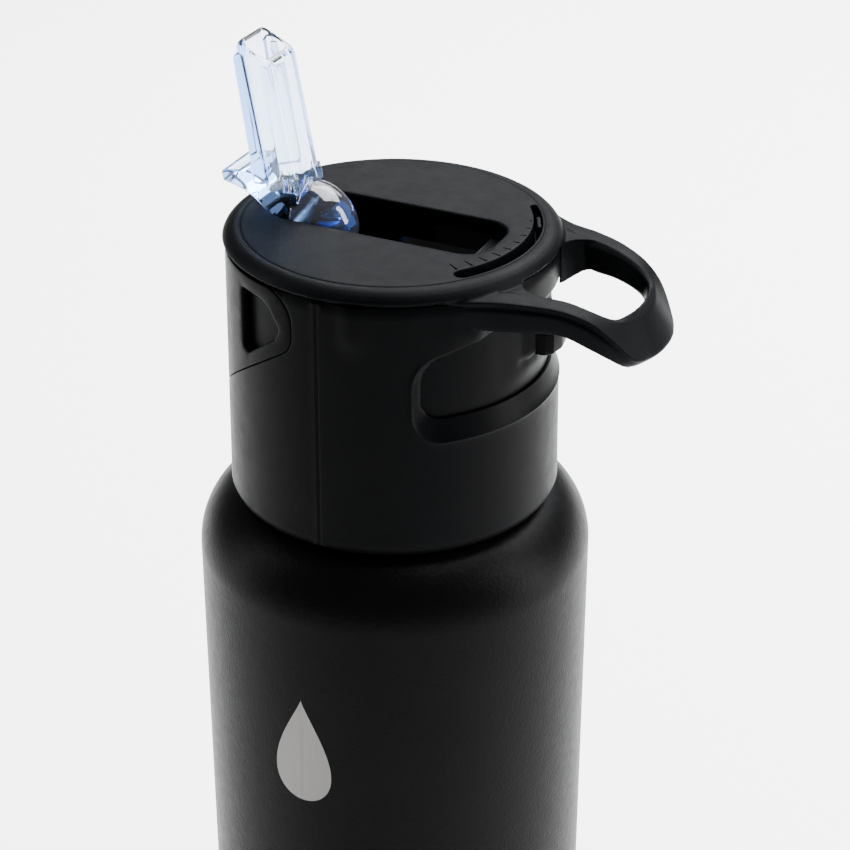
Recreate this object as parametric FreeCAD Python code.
"""Insulated steel water bottle with a screw-on flip-spout lid.

Millimetres. Origin at the centre of the base, +Z up the bottle, +X towards the
carry handle, so the spout stands on the -X side of the lid.
"""
import FreeCAD, Part
import math
import os

V = FreeCAD.Vector
V2 = FreeCAD.Base.Vector2d
Z = V(0, 0, 1)

# ---------------------------------------------------------------- driving sizes
BODY_R = 42.3            # bottle body
SHELL_WALL = 0.8
SHOULDER_R = 14.5
BASE_CORNER_R = 3.0
VACUUM_GAP = 1.9
FLASK_WALL = 0.6
SHELL_Z = 0.5            # lower edge of the outer shell
FOOT_R = 38.5            # where the shell's rolled foot meets the base plate
FLASK_Z = 5.5
FLASK_CORNER_R = 8.0
NECK_R = 27.0            # outside of the steel neck
MOUTH_R = 25.0           # inside of the steel neck
SHOULDER_Z = 199.0       # top of the shoulder
LIP_Z = 222.2            # top of the drinking lip
LIP_H = 0.8              # height of the lip that joins the two skins
THREAD_PITCH = 4.0
NECK_THREAD_Z, NECK_TURNS = 208.5, 1.5
PLATE_SHEET = 0.7        # thickness of the base plate
PAD_R, PAD_TOP = 37.5, 1.2
GETTER_R, GETTER_Z = 6.0, 4.0
SEAL_R, SEAL_Z = 2.5, 2.2

SKIRT_Z = 200.0          # lower edge of the lid
SKIRT_R_LOW = 35.0
SKIRT_R_HIGH = 34.35
SKIRT_R_IN = 33.3
SKIRT_TOP = 255.4
LID_TOP = 258.8          # flat top of the lid
RIM_R = 34.9
PLATE_R = 31.0
PLATE_Z = 255.8          # underside of the top cover
FLANGE_R, FLANGE_Z = 32.8, 257.0     # rebate of the top cover under the rim
RIM_Z = 0.9              # gap between the skirt and the rim
UNIT_R = 34.6            # radius at which wrapped outlines are true to size
CUT_R0, CUT_R1 = 32.0, 37.0          # reach of cuts through the skirt wall
RECESS_R = 34.0          # floor of the shallow recess round the rear window

DECK_Z0, DECK_Z1 = 224.0, 226.5
CORE_R = 30.4
CORE_BORE_R = 28.5
CORE_Z0 = 203.0
SHELF_Z0, SHELF_Z1 = 217.5, 220.0    # flange that carries the skirt
LID_THREAD_Z, LID_TURNS = 206.5, 1.25
PLUG_R, PLUG_Z0 = 24.2, 215.0
PLUG_WALL = 1.2
DRUM_R0, DRUM_R1 = 31.2, 32.5
DRUM_Z0, DRUM_Z1 = 222.0, 254.5
DRUM_LIP_R, DRUM_LIP = 29.0, 1.2     # inward flange on top of the drum
VALVE_Z0, VALVE_Z1 = 226.6, 227.8

SLOT_X0, SLOT_X1 = -26.0, 23.5
SLOT_HALF = 8.5
SLOT_CORNER_R = 5.5
TRAY_WALL = 1.2

TRAY_FLOOR = 248.9
TRAY_BASE = 246.4
TRAY_GROOVE_HALF = 3.0
TRAY_FOOT = 251.3        # where the sloping sides of the floor meet the walls
TRAY_SLOPE_W = 1.6
TRAY_SLOPE_X0 = -7.5

PIVOT_X, PIVOT_Z = -21.5, 253.0
PIN_R = 1.5
PIN_CLEARANCE = 0.05
HUB_R, HUB_HALF = 4.4, 5.7
DOME_X, DOME_Z = -18.5, 254.0
DOME_R, DOME_HALF = 10.0, 8.2
SWEEP_R = 13.9           # room the dome needs round the pivot
WELL_X = -23.7           # spout side of the dome's well
SPOUT_HALF_W = 6.6
SPOUT_BACK, SPOUT_BACK_LEAN = (-29.2, 269.5), 0.144
SPOUT_FRONT, SPOUT_FRONT_LEAN = (-18.8, 262.0), 0.195
SPOUT_WALL = 1.3
SPOUT_BACK_TOP, SPOUT_FRONT_TOP = 293.4, 290.2
FEED_R = 1.6             # feed hole through the spout's hub

STRAW_X = -16.0
STRAW_R0, STRAW_R1 = 3.2, 4.2
STRAW_Z0, STRAW_Z1 = 14.0, 213.5
NIPPLE_R, NIPPLE_Z0 = 2.2, 207.0
DUCT_X, DUCT_Z, DUCT_R = -26.4, 230.5, 1.3
SOCKET_Z0, SOCKET_HALF = 228.0, 5.2
VENT_X, VENT_R = 14.0, 1.6
VENT_HOLE_R, VENT_HEAD_R = 3.4, 3.0
FAR = 60.0               # size of blocks used only to trim others


# ---------------------------------------------------------------- helpers
def lathe(points, angle=360.0, start=0.0):
    """Solid turned about Z from a closed (r, z) outline."""
    wire = Part.makePolygon([V(r, 0, z) for r, z in points] + [V(points[0][0], 0, points[0][1])])
    solid = Part.Face(wire).revolve(V(0, 0, 0), Z, angle)
    solid.rotate(V(0, 0, 0), Z, start)
    return solid


def tube(r0, r1, z0, z1, x=0.0, y=0.0):
    """Upright pipe, or a plain cylinder when r0 is 0."""
    outer = Part.makeCylinder(r1, z1 - z0, V(x, y, z0))
    if r0 <= 0:
        return outer
    return outer.cut(Part.makeCylinder(r0, z1 - z0, V(x, y, z0)))


def cross_pin(radius, half_length, x=PIVOT_X, z=PIVOT_Z):
    """Cylinder lying along Y."""
    return Part.makeCylinder(radius, 2 * half_length, V(x, -half_length, z), V(0, 1, 0))


def rounded(corners):
    """Flat outline from (u, v, corner radius); returns points with sampled arcs."""
    out = []
    n = len(corners)
    for i, (u, v, r) in enumerate(corners):
        a, b = corners[i - 1], corners[(i + 1) % n]
        p = V(u, v, 0)
        d0 = (V(a[0], a[1], 0) - p).normalize()
        d1 = (V(b[0], b[1], 0) - p).normalize()
        half = d0.getAngle(d1) / 2
        if r <= 0:
            out.append((u, v))
            continue
        reach = r / math.tan(half)
        centre = p + (d0 + d1).normalize() * (r / math.sin(half))
        e0 = p + d0 * reach - centre
        e1 = p + d1 * reach - centre
        sweep = math.pi - 2 * half
        steps = max(2, int(math.degrees(sweep) / 12))
        for k in range(steps + 1):
            t = k / steps
            w0 = math.sin((1 - t) * sweep) / math.sin(sweep)
            w1 = math.sin(t * sweep) / math.sin(sweep)
            q = centre + e0 * w0 + e1 * w1
            out.append((q.x, q.y))
    return out


def prism(corners, z0, z1):
    """Upright block over a rounded outline."""
    pts = [V(x, y, z0) for x, y in rounded(corners)]
    return Part.Face(Part.makePolygon(pts + [pts[0]])).extrude(V(0, 0, z1 - z0))


def side_block(corners, half_width):
    """Block with a rounded (x, z) outline, reaching half_width either side of Y = 0."""
    pts = [V(x, -half_width, z) for x, z in rounded(corners)]
    return Part.Face(Part.makePolygon(pts + [pts[0]])).extrude(V(0, 2 * half_width, 0))


def wrapped(corners, r0=CUT_R0, r1=CUT_R1):
    """Block wrapped round the Z axis from (degrees, z, corner radius)."""
    flat = rounded([(math.radians(a) * UNIT_R, z, r) for a, z, r in corners])
    pts = [(u / UNIT_R, z) for u, z in flat]
    faces, rails = [], []
    for radius in (r0, r1):
        surface = Part.Cylinder()
        surface.Radius = radius
        edges = [Part.Geom2d.Line2dSegment(V2(*p), V2(*q)).toShape(surface)
                 for p, q in zip(pts, pts[1:] + pts[:1])]
        face = Part.Face(surface, Part.Wire(edges))
        face.validate()
        faces.append(face)
        rails.append(edges)
    faces += [Part.makeRuledSurface(a, b) for a, b in zip(*rails)]
    skin = Part.Compound(faces)
    skin.sewShape()
    solid = Part.Solid(skin.Shells[0])
    if solid.Volume < 0:
        solid.reverse()
    return solid


def mirrored(corners):
    """The same wrapped outline on the other side of the XZ plane."""
    return [(360 - a, z, r) for a, z, r in reversed(corners)]


def thread(radius, z0, turns, outward):
    """Trapezoidal helical ridge standing on a cylinder of the given radius."""
    sign = 1 if outward else -1
    helix = Part.makeHelix(THREAD_PITCH, THREAD_PITCH * turns, radius)
    root, crest = radius - sign * 0.3, radius + sign * 1.1
    section = Part.makePolygon([V(root, 0, -1.0), V(crest, 0, -0.5), V(crest, 0, 0.5),
                                V(root, 0, 1.0), V(root, 0, -1.0)])
    ridge = Part.Wire(helix).makePipeShell([section], True, True)
    ridge.translate(V(0, 0, z0))
    return ridge


SHAPES = {}


def part(name, shape):
    SHAPES[name] = shape


# ---------------------------------------------------------------- steel vessel
def vessel_wall(r_body, r_neck, shoulder_r, z_low, z_top, wall, low_corner):
    """One drawn steel skin: straight side, round shoulder and neck, open at both ends."""
    zc = SHOULDER_Z - SHOULDER_R
    xc = BODY_R - SHOULDER_R

    def side(inset):
        arc = shoulder_r - inset
        pts = [(r_body - inset, z_low + low_corner)]
        for k in range(0, 19):
            t = math.radians(90 * k / 18)
            pts.append((xc + arc * math.cos(t), zc + arc * math.sin(t)))
        pts += [(r_neck - inset + 0.5, zc + arc), (r_neck - inset, zc + arc + 0.5)]
        pts.append((r_neck - inset, z_top))
        return pts

    return side(0), side(wall)


def quarter(centre_r, centre_z, radius, steps=8):
    """(r, z) points of a convex lower corner, from its foot to its side."""
    turn = [math.radians(90 * k / steps) for k in range(steps + 1)]
    return [(centre_r + radius * math.sin(t), centre_z - radius * math.cos(t)) for t in turn]


def outer_shell():
    out, inn = vessel_wall(BODY_R, NECK_R, SHOULDER_R, SHELL_Z, LIP_Z - LIP_H, SHELL_WALL, BASE_CORNER_R)
    corner = (BODY_R - BASE_CORNER_R, SHELL_Z + BASE_CORNER_R)
    profile = [(FOOT_R, SHELL_Z)] + quarter(*corner, BASE_CORNER_R)[:-1] + out + inn[::-1]
    profile += quarter(*corner, BASE_CORNER_R - SHELL_WALL)[::-1][1:] + [(FOOT_R, SHELL_Z + SHELL_WALL)]
    return lathe(profile).fuse(thread(NECK_R, NECK_THREAD_Z, NECK_TURNS, True)).removeSplitter()


def inner_flask():
    r_out = BODY_R - SHELL_WALL - VACUUM_GAP
    arc = SHOULDER_R - SHELL_WALL - VACUUM_GAP
    out, inn = vessel_wall(r_out, MOUTH_R + FLASK_WALL, arc, FLASK_Z, LIP_Z - LIP_H, FLASK_WALL,
                           FLASK_CORNER_R)
    corner = (r_out - FLASK_CORNER_R, FLASK_Z + FLASK_CORNER_R)
    lip = [(NECK_R, LIP_Z - LIP_H), (NECK_R, LIP_Z - 0.25), (NECK_R - 0.3, LIP_Z), (MOUTH_R + 0.3, LIP_Z),
           (MOUTH_R, LIP_Z - 0.3), (MOUTH_R, LIP_Z - LIP_H)]
    profile = [(0, FLASK_Z)] + quarter(*corner, FLASK_CORNER_R)[:-1] + out + lip + inn[::-1][1:]
    profile += quarter(*corner, FLASK_CORNER_R - FLASK_WALL)[:-1][::-1] + [(0, FLASK_Z + FLASK_WALL)]
    return lathe(profile)


def vessel():
    part("outer_shell", outer_shell())
    part("inner_flask", inner_flask())
    dish_z, rim_r = 3.0, FOOT_R - PLATE_SHEET
    part("base_plate", lathe([(0, dish_z), (7, dish_z), (8, PAD_TOP), (rim_r, PAD_TOP), (rim_r, SHELL_Z),
                              (FOOT_R, SHELL_Z), (FOOT_R, PAD_TOP + PLATE_SHEET),
                              (8.6, PAD_TOP + PLATE_SHEET), (7.4, dish_z + PLATE_SHEET),
                              (0, dish_z + PLATE_SHEET)]))
    part("vacuum_seal", tube(0, SEAL_R, SEAL_Z, dish_z))
    part("getter", tube(0, GETTER_R, GETTER_Z, FLASK_Z))
    part("base_pad", tube(0, PAD_R, 0.0, PAD_TOP))


# ---------------------------------------------------------------- lid, fixed pieces
PANEL = [(99.7, 255.2, 6.5), (260.3, 255.2, 6.5), (260.3, 243.6, 5.0), (192, 216.8, 8.0),
         (168, 216.8, 8.0), (99.7, 243.6, 5.0)]
D_WINDOW = [(234.7, 252.1, 1.0), (249.0, 252.1, 5.0), (255.2, 246.9, 1.2), (253.0, 244.4, 1.2),
            (234.7, 236.6, 1.8)]
REAR_OUTER = [(-58.2, 225.5, 6.0), (58.2, 225.5, 6.0), (58.2, 243.0, 6.5), (25, 248.5, 10.0),
              (-25, 248.5, 10.0), (-58.2, 243.0, 6.5)]
REAR_INNER = [(-54.5, 230.0, 4.0), (54.5, 230.0, 4.0), (54.5, 243.0, 5.0), (25, 247.2, 10.0),
              (-25, 247.2, 10.0), (-54.5, 243.0, 5.0)]
SEAM = 0.12


def grown(corners, by):
    """Outline (degrees, z, corner radius) with every side moved outwards."""
    pts = [V(math.radians(a) * UNIT_R, z, 0) for a, z, r in corners]
    area = sum(p.x * q.y - q.x * p.y for p, q in zip(pts, pts[1:] + pts[:1]))
    turn = 1 if area > 0 else -1
    out = []
    for i, p in enumerate(pts):
        d0 = (p - pts[i - 1]).normalize()
        d1 = (pts[(i + 1) % len(pts)] - p).normalize()
        n0, n1 = V(d0.y, -d0.x, 0) * turn, V(d1.y, -d1.x, 0) * turn
        q = p + (n0 + n1) * (by / (1 + n0.dot(n1)))
        out.append((math.degrees(q.x / UNIT_R), q.y, corners[i][2] + by))
    return out


def skirt_wall():
    return lathe([(SKIRT_R_IN, SKIRT_Z), (SKIRT_R_LOW - 0.3, SKIRT_Z), (SKIRT_R_LOW, SKIRT_Z + 0.3),
                  (SKIRT_R_HIGH, SKIRT_TOP), (SKIRT_R_IN, SKIRT_TOP)])


def skirt_parts():
    wall = skirt_wall()
    panel_zone = wrapped(PANEL)
    skirt = wall.cut(wrapped(grown(PANEL, SEAM)))
    skirt = skirt.cut(wrapped(REAR_INNER))
    skirt = skirt.cut(wrapped(REAR_OUTER, RECESS_R))
    part("lid_skirt", skirt)
    panel = wall.common(panel_zone)
    for outline in (D_WINDOW, mirrored(D_WINDOW)):
        panel = panel.cut(wrapped(outline))
    part("front_panel", panel)


SLOT = [(SLOT_X0, -SLOT_HALF, SLOT_CORNER_R), (SLOT_X1, -SLOT_HALF, SLOT_CORNER_R),
        (SLOT_X1, SLOT_HALF, SLOT_CORNER_R), (SLOT_X0, SLOT_HALF, SLOT_CORNER_R)]
SLOT_OUTER = [(x + math.copysign(TRAY_WALL, x), y + math.copysign(TRAY_WALL, y), r + TRAY_WALL)
              for x, y, r in SLOT]
REST = [(16.4, 249.3, 0), (SLOT_X1 - 0.4, 249.3, 0), (SLOT_X1 - 0.4, 255.6, 0.5),
        (18.8, 255.6, 0.5), (16.5, 250.6, 0.5)]
REST_HALF = 6.8
DIAL_R_OUT = 30.5
DIAL_FROM, DIAL_TO = -36.0, 39.0
DIAL_WIDE, DIAL_NARROW = 3.4, 1.4
DIAL_TICKS = 9
TICK_TO = 24.6           # direction of the last scale mark
TICK_LONG, TICK_SHORT = 3.1, 0.6
TICK_W, TICK_DEEP, TICK_GAP = 0.35, 0.3, 0.25


def dial_slot():
    """Curved slot, widest at its first end, seen from above."""
    steps = 24
    outer, inner = [], []
    for k in range(steps + 1):
        a = math.radians(DIAL_FROM + (DIAL_TO - DIAL_FROM) * k / steps)
        width = DIAL_WIDE + (DIAL_NARROW - DIAL_WIDE) * k / steps
        outer.append(V(DIAL_R_OUT * math.cos(a), DIAL_R_OUT * math.sin(a), PLATE_Z - 1))
        r = DIAL_R_OUT - width
        inner.append(V(r * math.cos(a), r * math.sin(a), PLATE_Z - 1))
    loop = outer + inner[::-1]
    return Part.Face(Part.makePolygon(loop + [loop[0]])).extrude(V(0, 0, 6))


def top_cover():
    plate = lathe([(0, PLATE_Z), (FLANGE_R, PLATE_Z), (FLANGE_R, FLANGE_Z), (PLATE_R, FLANGE_Z),
                   (PLATE_R, LID_TOP - 0.3), (PLATE_R - 0.3, LID_TOP), (0, LID_TOP)])
    plate = plate.cut(prism(SLOT, PLATE_Z - 1, LID_TOP + 1)).cut(dial_slot())
    for k in range(DIAL_TICKS):
        t = k / (DIAL_TICKS - 1)
        angle = DIAL_FROM + (TICK_TO - DIAL_FROM) * t
        narrowed = (DIAL_WIDE - DIAL_NARROW) * (angle - DIAL_FROM) / (DIAL_TO - DIAL_FROM)
        start = DIAL_R_OUT - DIAL_WIDE + 0.9 * narrowed - TICK_GAP
        length = TICK_LONG + (TICK_SHORT - TICK_LONG) * t
        corner = V(start - length, -TICK_W / 2, LID_TOP - TICK_DEEP)
        notch = Part.makeBox(length, TICK_W, TICK_DEEP + 0.1, corner)
        notch.rotate(V(0, 0, 0), Z, angle)
        plate = plate.cut(notch)
    return plate


# half of the carry handle: top outer, top inner, bottom inner and bottom outer edge
# of the strap at each station, as (x, y, z above the lower edge of the lid)
HANDLE_STATIONS = [
    [(10.0, 33.0, 56.4), (13.5, 27.5, 57.4), (13.5, 27.5, 56.8), (10.0, 32.6, 53.5)],
    [(17.0, 29.2, 56.2), (19.5, 23.5, 57.0), (20.0, 24.0, 56.6), (17.0, 28.8, 50.8)],
    [(24.0, 24.8, 56.0), (26.5, 18.8, 56.8), (27.0, 19.4, 55.6), (24.0, 24.4, 49.4)],
    [(31.0, 20.9, 55.8), (32.8, 14.9, 56.3), (33.0, 15.4, 50.6), (31.2, 20.5, 49.2)],
    [(38.0, 19.0, 55.7), (38.3, 13.2, 55.9), (38.3, 13.6, 49.2), (38.0, 18.6, 49.5)],
    [(44.0, 17.2, 55.0), (43.8, 11.9, 55.3), (43.8, 12.3, 49.1), (44.0, 16.8, 49.4)],
    [(49.5, 15.6, 53.0), (48.8, 10.9, 53.7), (48.4, 11.2, 48.4), (49.4, 15.0, 46.6)],
    [(53.6, 14.0, 49.6), (52.4, 9.0, 52.2), (51.2, 9.2, 47.8), (52.6, 13.0, 44.2)],
    [(57.4, 10.6, 44.6), (54.0, 5.6, 52.2), (52.4, 5.8, 47.4), (55.0, 9.8, 41.8)],
    [(59.6, 5.4, 43.6), (54.6, 2.6, 52.2), (52.8, 2.8, 47.0), (56.8, 5.0, 41.2)],
    [(60.2, 0.0, 43.4), (54.7, 0.0, 52.2), (52.9, 0.0, 46.9), (57.4, 0.0, 41.0)],
]
STRAP_STEPS = 3          # extra sections between two stations
STRAP_CHAMFER = 0.22     # share of each side taken by the broken corners


def strap_section(edges):
    """Eight-sided section: the four edges with their corners broken."""
    corner = [V(x, y, SKIRT_Z + z) for x, y, z in edges]
    pts = []
    for i in range(4):
        a, b = corner[i], corner[(i + 1) % 4]
        pts += [a + (b - a) * STRAP_CHAMFER, b + (a - b) * STRAP_CHAMFER]
    return pts


def between(p0, p1, p2, p3, t):
    """Smooth curve through p1 and p2 at share t."""
    return (p1 * 2 + (p2 - p0) * t + (p0 * 2 - p1 * 5 + p2 * 4 - p3) * (t * t)
            + (p1 * 3 - p0 - p2 * 3 + p3) * (t ** 3)) * 0.5


def strap():
    """Carry strap as a closed skin through all its sections, both arms."""
    half = [strap_section(s) for s in HANDLE_STATIONS]
    mirror = [[V(p.x, -p.y, p.z) for p in section] for section in half[-2::-1]]
    stations = half + mirror
    rows = []
    last = len(stations) - 1
    for i in range(last):
        four = [stations[min(max(i + k, 0), last)] for k in (-1, 0, 1, 2)]
        for step in range(STRAP_STEPS):
            t = step / STRAP_STEPS
            rows.append([between(*(s[j] for s in four), t) for j in range(8)])
    rows.append(stations[-1])
    faces = []

    def triangle(a, b, c):
        faces.append(Part.Face(Part.makePolygon([a, b, c, a])))

    for low, high in zip(rows, rows[1:]):
        for j in range(8):
            k = (j + 1) % 8
            triangle(low[j], low[k], high[k])
            triangle(low[j], high[k], high[j])
    for ring in (rows[0], rows[-1]):
        for j in range(1, 7):
            triangle(ring[0], ring[j], ring[j + 1])
    solid = Part.Solid(Part.Shell(faces))
    if solid.Volume < 0:
        solid.reverse()
    return solid


def carry_ring():
    rim_z = SKIRT_TOP + RIM_Z
    rim = lathe([(PLATE_R, FLANGE_Z), (FLANGE_R, FLANGE_Z), (FLANGE_R, SKIRT_TOP), (34.0, SKIRT_TOP),
                 (34.0, rim_z), (RIM_R - 0.3, rim_z), (RIM_R, rim_z + 0.4),
                 (RIM_R - 0.15, SKIRT_TOP + 2.0), (RIM_R - 0.8, LID_TOP - 0.6),
                 (RIM_R - 1.9, LID_TOP - 0.15), (PLATE_R + 0.8, LID_TOP), (PLATE_R, LID_TOP)])
    low, high = SKIRT_TOP - FAR, SKIRT_TOP + FAR
    keep_out = Part.makeCylinder(FLANGE_R, LID_TOP - low, V(0, 0, low)).fuse(
        lathe([(0, low), (SKIRT_R_HIGH + 0.25, low), (SKIRT_R_HIGH + 0.15, rim_z),
               (PLATE_R, rim_z), (PLATE_R, high), (0, high)]))
    return rim.fuse(strap().cut(keep_out))


def tray_slopes():
    """Sloping side of the tray's floor along each wall."""
    slopes = []
    for side in (-1, 1):
        foot = side * (SLOT_HALF + 0.2)
        pts = [V(TRAY_SLOPE_X0, foot, TRAY_FLOOR - 0.2), V(TRAY_SLOPE_X0, foot, TRAY_FOOT),
               V(TRAY_SLOPE_X0, side * SLOT_HALF, TRAY_FOOT),
               V(TRAY_SLOPE_X0, side * (SLOT_HALF - TRAY_SLOPE_W), TRAY_FLOOR),
               V(TRAY_SLOPE_X0, side * (SLOT_HALF - TRAY_SLOPE_W), TRAY_FLOOR - 0.2)]
        length = V(SLOT_X1 - TRAY_SLOPE_X0, 0, 0)
        slopes.append(Part.Face(Part.makePolygon(pts + [pts[0]])).extrude(length))
    return slopes[0].fuse(slopes[1]).common(prism(SLOT_OUTER, TRAY_BASE, PLATE_Z))


def tray():
    """Glossy liner of the spout slot, with a deep well that the spout's dome swings through."""
    trough = prism(SLOT_OUTER, TRAY_BASE, PLATE_Z)
    well = cross_pin(SWEEP_R + TRAY_WALL, SLOT_HALF + TRAY_WALL)
    well = well.common(Part.makeBox(FAR, FAR, FAR, V(WELL_X - TRAY_WALL, -FAR / 2, PLATE_Z - FAR)))
    hollow = prism(SLOT, TRAY_FLOOR, PLATE_Z + 1)
    groove_x0, groove_x1, groove_z = -12.0, SLOT_X1 - 0.5, TRAY_FLOOR - 1.5
    groove = side_block([(groove_x0, TRAY_FLOOR + 0.1, 0), (groove_x1, TRAY_FLOOR + 0.1, 0),
                         (groove_x1, groove_z, 0), (groove_x0, groove_z, 0)], TRAY_GROOVE_HALF)
    ahead = Part.makeBox(FAR, FAR, FAR, V(WELL_X, -FAR / 2, PIVOT_Z - FAR / 2))
    sweep = cross_pin(SWEEP_R, SLOT_HALF).common(ahead)
    body = trough.fuse(well).cut(hollow).fuse(tray_slopes()).cut(groove).cut(sweep)
    body = body.cut(Part.makeBox(1.4, 4, 12, V(-26.0, -2, 243)))
    body = body.cut(cross_pin(HUB_R + 0.3, HUB_HALF + 0.3))
    return body.cut(cross_pin(PIN_R + PIN_CLEARANCE, FAR))


def spout_socket():
    """Feed block under the spout: its saddle takes the seal, its base sits over the valve."""
    outline = [(-29.2, SOCKET_Z0, 0), (-11.5, SOCKET_Z0, 0), (-11.5, 232.0, 3.0), (-24.9, 235.4, 1.0),
               (-24.9, TRAY_BASE, 0), (-29.2, TRAY_BASE, 0)]
    block = side_block(outline, SOCKET_HALF)
    duct = Part.makeCylinder(DUCT_R, TRAY_FLOOR - DUCT_Z, V(DUCT_X, 0, DUCT_Z))
    lower = Part.makeCylinder(NIPPLE_R, 4.4, V(STRAW_X, 0, SOCKET_Z0 - 0.5))
    link = Part.makeCylinder(DUCT_R, STRAW_X - DUCT_X, V(DUCT_X, 0, DUCT_Z), V(1, 0, 0))
    return block.cut(duct).cut(lower).cut(link)


def core():
    """Threaded lid core: thread wall, deck and the flange that carries the skirt."""
    body = lathe([(0, DECK_Z0), (CORE_BORE_R, DECK_Z0), (CORE_BORE_R, CORE_Z0), (CORE_R, CORE_Z0),
                  (CORE_R, SHELF_Z0), (SKIRT_R_IN, SHELF_Z0), (SKIRT_R_IN, SHELF_Z1), (CORE_R, SHELF_Z1),
                  (CORE_R, DECK_Z1), (0, DECK_Z1)])
    body = body.cut(tube(0, NIPPLE_R, SHELF_Z1, SOCKET_Z0, STRAW_X))
    body = body.cut(tube(0, VENT_R, SHELF_Z1, SOCKET_Z0, VENT_X))
    return body.fuse(thread(CORE_BORE_R, LID_THREAD_Z, LID_TURNS, False))


def lid():
    skirt_parts()
    part("top_cover", top_cover())
    part("carry_ring", carry_ring())
    part("slot_tray", tray())
    part("mouth_rest", side_block(REST, REST_HALF).common(prism(SLOT, 240, 260)))
    part("spout_socket", spout_socket())
    seal = side_block([(-25.9, TRAY_FLOOR, 0), (-23.95, TRAY_FLOOR, 0), (-23.95, 250.2, 0),
                       (-25.9, 252.2, 0)], 3.4)
    seal = seal.cut(cross_pin(HUB_R + PIN_CLEARANCE, FAR))
    part("spout_seal", seal.cut(Part.makeBox(1.2, 1.6, 6, V(-25.9, -0.8, 246))))
    part("lid_core", core())
    foam_r, foam_z = PLUG_R - PLUG_WALL, PLUG_Z0 + PLUG_WALL
    plug = lathe([(0, PLUG_Z0), (PLUG_R, PLUG_Z0), (PLUG_R, DECK_Z0), (foam_r, DECK_Z0), (foam_r, foam_z),
                  (0, foam_z)])
    foam = tube(0, foam_r, foam_z, DECK_Z0)
    for radius, x in ((STRAW_R0, STRAW_X), (VENT_HOLE_R, VENT_X)):
        hole = tube(0, radius, CORE_Z0, DECK_Z1, x)
        plug, foam = plug.cut(hole), foam.cut(hole)
    part("plug_cup", plug)
    part("foam_plug", foam)
    part("straw_nipple", tube(NIPPLE_R, STRAW_R0, NIPPLE_Z0, DECK_Z0, STRAW_X))
    part("straw", tube(STRAW_R0, STRAW_R1, STRAW_Z0, STRAW_Z1, STRAW_X))
    vent = tube(0, VENT_R, 219.6, 228.6, VENT_X).fuse(tube(0, VENT_HEAD_R, 222.6, DECK_Z0, VENT_X))
    part("vent_valve", vent)


def gasket():
    part("lid_gasket", lathe([(24.9, LIP_Z), (28.0, LIP_Z), (28.3, 223.0), (28.0, DECK_Z0),
                              (24.9, DECK_Z0)]))


# ---------------------------------------------------------------- flow dial
TAB_HALF, TAB_TIP = 4.6, 38.5
TAB_Z0, TAB_Z1 = 237.4, 243.0
TAB_SIDE = [(31.0, TAB_Z0, 0), (TAB_TIP - 0.5, TAB_Z0, 0.2), (TAB_TIP, TAB_Z0 + 0.7, 0.3),
            (TAB_TIP, TAB_Z1 - 0.7, 0.3), (TAB_TIP - 0.5, TAB_Z1, 0.2), (31.0, TAB_Z1, 0)]
TAB_PLAN = [(31.0, -TAB_HALF, 0), (36.0, -4.3, 0.4), (37.7, -3.3, 0.4), (TAB_TIP, 0.0, 3.0),
            (37.7, 3.3, 0.4), (36.0, 4.3, 0.4), (31.0, TAB_HALF, 0)]


def flow_ring():
    drum = lathe([(DRUM_R0, DRUM_Z0), (DRUM_R1, DRUM_Z0), (DRUM_R1, DRUM_Z1), (DRUM_LIP_R, DRUM_Z1),
                  (DRUM_LIP_R, DRUM_Z1 - DRUM_LIP), (DRUM_R0, DRUM_Z1 - DRUM_LIP)])
    tab = side_block(TAB_SIDE, TAB_HALF).common(prism(TAB_PLAN, TAB_Z0 - 1, TAB_Z1 + 1))
    return drum.fuse(tab.cut(Part.makeCylinder(DRUM_R0 + 0.4, FAR, V(0, 0, DRUM_Z0))))


def flow_valve():
    ring_r, hub_r = 27.0, 10.0
    plate = tube(ring_r, DRUM_R0, VALVE_Z0, VALVE_Z1)
    web = lathe([(hub_r, VALVE_Z0), (ring_r + 0.4, VALVE_Z0), (ring_r + 0.4, VALVE_Z1), (hub_r, VALVE_Z1)],
                100.0, 150.0)
    steps = 16
    path_r = -STRAW_X
    outer, inner = [], []
    for k in range(steps + 1):
        a = math.radians(166 + 66 * k / steps)
        half = 0.6 + 1.8 * k / steps
        for loop, r in ((outer, path_r + half), (inner, path_r - half)):
            loop.append(V(r * math.cos(a), r * math.sin(a), VALVE_Z0 - 0.6))
    loop = outer + inner[::-1]
    taper = Part.Face(Part.makePolygon(loop + [loop[0]])).extrude(V(0, 0, 3))
    return plate.fuse(web).cut(taper)


def flow():
    part("flow_ring", flow_ring())
    part("flow_valve", flow_valve())
    pointer_z, pointer_r0, pointer_r1 = LID_TOP - 0.5, 29.45, 30.25
    post = lathe([(pointer_r0, DRUM_Z1), (pointer_r1, DRUM_Z1), (pointer_r1, pointer_z),
                  (pointer_r0, pointer_z)], 9.0, 21.5)
    part("flow_pointer", post)
    mark_z = DRUM_Z1 + 0.4
    part("flow_mark", lathe([(DRUM_LIP_R, DRUM_Z1), (29.9, DRUM_Z1), (29.9, mark_z), (DRUM_LIP_R, mark_z)],
                            2.2, -19.6))


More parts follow.
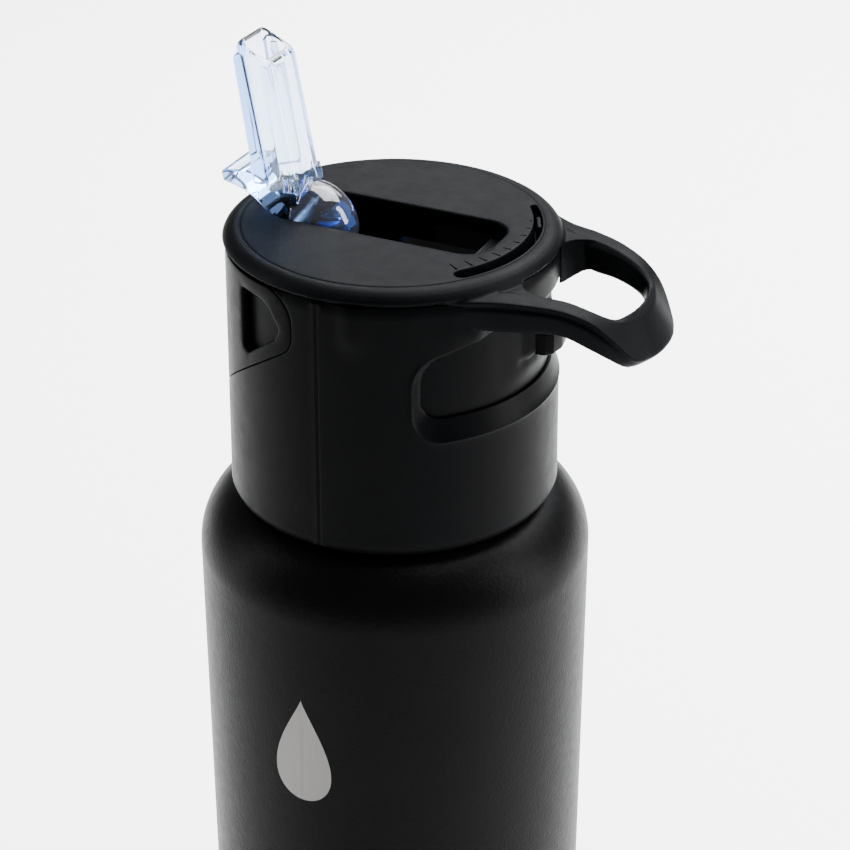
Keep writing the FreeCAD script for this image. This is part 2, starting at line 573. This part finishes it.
# ---------------------------------------------------------------- spout
def spout_tube(inset, z0, z1_back, z1_front):
    """Leaning box tube; inset shrinks it on every side."""
    w = SPOUT_HALF_W - inset

    def back_x(z):
        return SPOUT_BACK[0] - SPOUT_BACK_LEAN * (z - SPOUT_BACK[1]) + inset

    def front_x(z):
        return SPOUT_FRONT[0] - SPOUT_FRONT_LEAN * (z - SPOUT_FRONT[1]) - inset

    corners = [(back_x(z0), z0, 0), (front_x(z0), z0, 0), (front_x(z1_front), z1_front, 0),
               (back_x(z1_back), z1_back, 0)]
    return side_block(corners, w)


def dome():
    """Rounded front of the spout's root, which turns down into the well as the spout folds."""
    ball = Part.makeSphere(DOME_R)
    squash = FreeCAD.Matrix()
    squash.scale(1.0, DOME_HALF / DOME_R, 1.0)
    ball = ball.transformGeometry(squash)
    ball.translate(V(DOME_X, 0, DOME_Z))
    return ball.common(Part.makeBox(FAR, FAR, FAR, V(DOME_X - 1.5, -FAR / 2, PIVOT_Z + 0.1)))


def spout():
    outer = spout_tube(0.0, 262.0, SPOUT_BACK_TOP, SPOUT_FRONT_TOP)
    root = side_block([(-25.0, 253.0, 0), (-17.4, 253.0, 0), (-18.9, 263.0, 0), (-28.3, 263.5, 0),
                       (-25.0, 259.2, 0)], HUB_HALF)
    shell = outer.fuse(root).fuse(cross_pin(HUB_R, HUB_HALF))
    tab = side_block([(-25.7, 258.9, 0), (-27.5, 260.3, 2.0), (-31.5, 262.6, 3.0), (-35.6, 263.1, 0.6),
                      (-36.4, 265.5, 0.6), (-30.6, 266.6, 1.5), (-28.0, 268.0, 0), (-24.0, 262.0, 0)],
                     SPOUT_HALF_W)
    solid = shell.fuse(tab).fuse(dome())
    above = SPOUT_BACK_TOP + 2.6
    bore = spout_tube(SPOUT_WALL, 258.0, above, above)
    feed = Part.makeCylinder(FEED_R, 12, V(PIVOT_X - 0.5, 0, PIVOT_Z - 6))
    return solid.cut(bore).cut(feed).cut(cross_pin(PIN_R, FAR))


def flip_spout():
    part("spout", spout())
    part("spout_axle", cross_pin(PIN_R, SLOT_HALF + TRAY_WALL - 0.1))


def main():
    os.makedirs("parts", exist_ok=True)
    vessel()
    lid()
    gasket()
    flow()
    flip_spout()
    for name, shape in SHAPES.items():
        if not shape.isValid() or shape.Volume <= 0:
            print("CHECK", name, shape.isValid(), round(shape.Volume, 2))
        shape.exportStep("parts/%s.step" % name)
        print("%-14s %8.1f mm3  solids %d" % (name, shape.Volume, len(shape.Solids)))


main()
